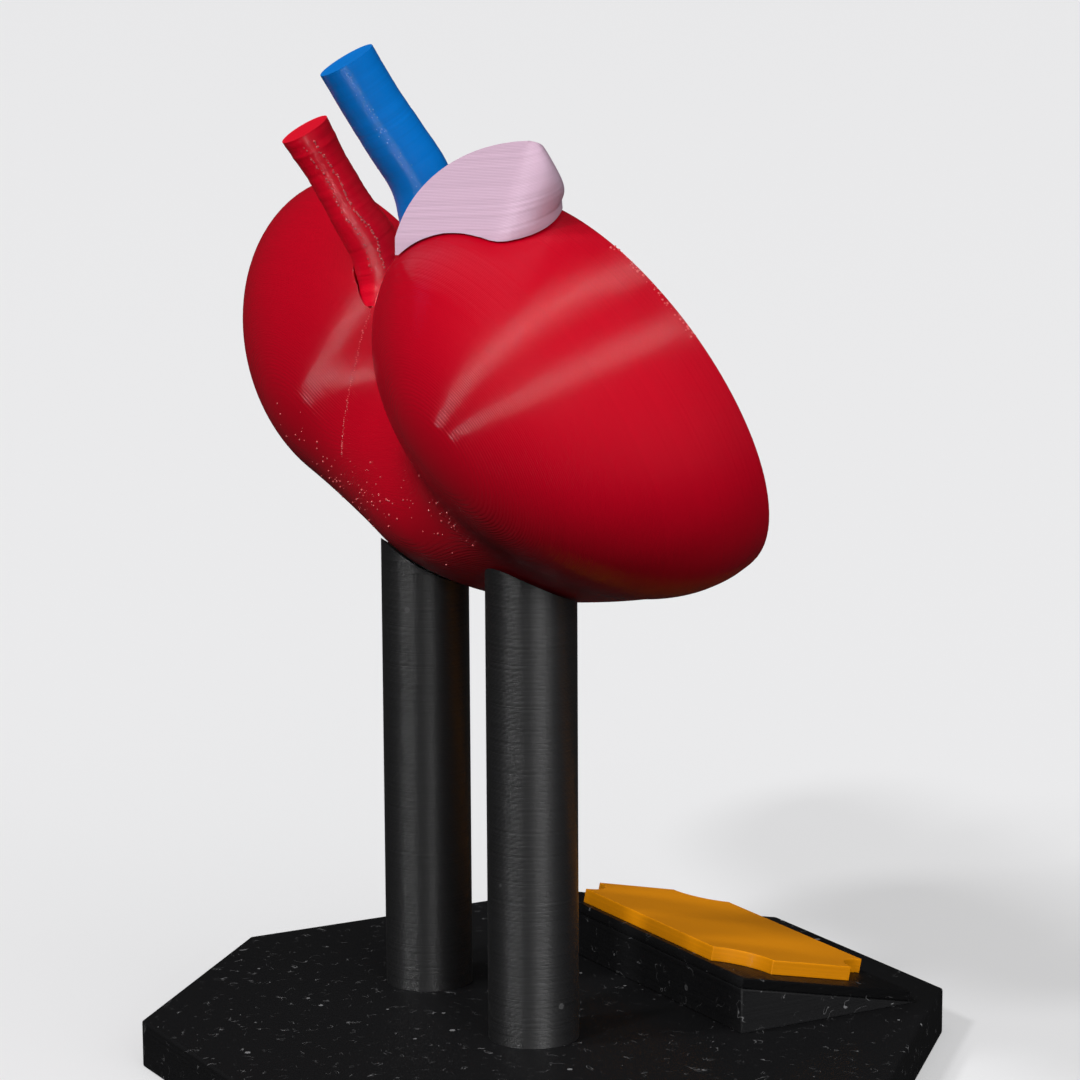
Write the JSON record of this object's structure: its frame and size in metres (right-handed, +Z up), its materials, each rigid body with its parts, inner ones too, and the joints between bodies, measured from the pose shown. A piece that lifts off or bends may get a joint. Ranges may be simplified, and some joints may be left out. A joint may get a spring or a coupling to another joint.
{
  "type": "kidney anatomy model",
  "caption": "Half kidney with adrenal gland and vessels that lifts off its posts, over an octagonal base with a bare sloping label plate; its cut face shows the pyramids.",
  "frame": {"origin": "centre of the base plate's underside", "axes": "+Z up; -Y is the front, where the cut face and the label look; +X is to the right seen from the front"},
  "size_m": [0.1209, 0.1, 0.1337],
  "materials": {
    "black_print": "satin black printed plastic with fine layer lines",
    "red_print": "silky red printed plastic with fine layer lines",
    "blue_print": "silky blue printed plastic with fine layer lines",
    "lilac_print": "soft satin pale lilac printed plastic",
    "orange_print": "glossy orange printed plastic",
    "cream_print": "satin cream printed plastic",
    "rose_print": "satin dark rose printed plastic"
  },
  "bodies": {
    "stand": {"base_plate": "black_print", "post_left": "black_print", "post_right": "black_print", "label_stand": "black_print", "label_backing": "black_print", "label_plate": "orange_print"},
    "kidney": {"kidney_body": "red_print", "renal_artery": "red_print", "renal_vein": "blue_print", "adrenal_gland": "lilac_print", "renal_pelvis": "cream_print", "renal_pyramid_1": "rose_print", "renal_pyramid_2": "rose_print", "renal_pyramid_3": "rose_print", "renal_pyramid_4": "rose_print", "renal_pyramid_5": "rose_print", "renal_pyramid_6": "rose_print", "renal_pyramid_7": "rose_print"}
  },
  "joints": [
    {"name": "kidney_lift", "type": "slide", "parent": "stand", "child": "kidney", "axis": [0, 0, 1], "range_m": [0, 0.016]}
  ]
}
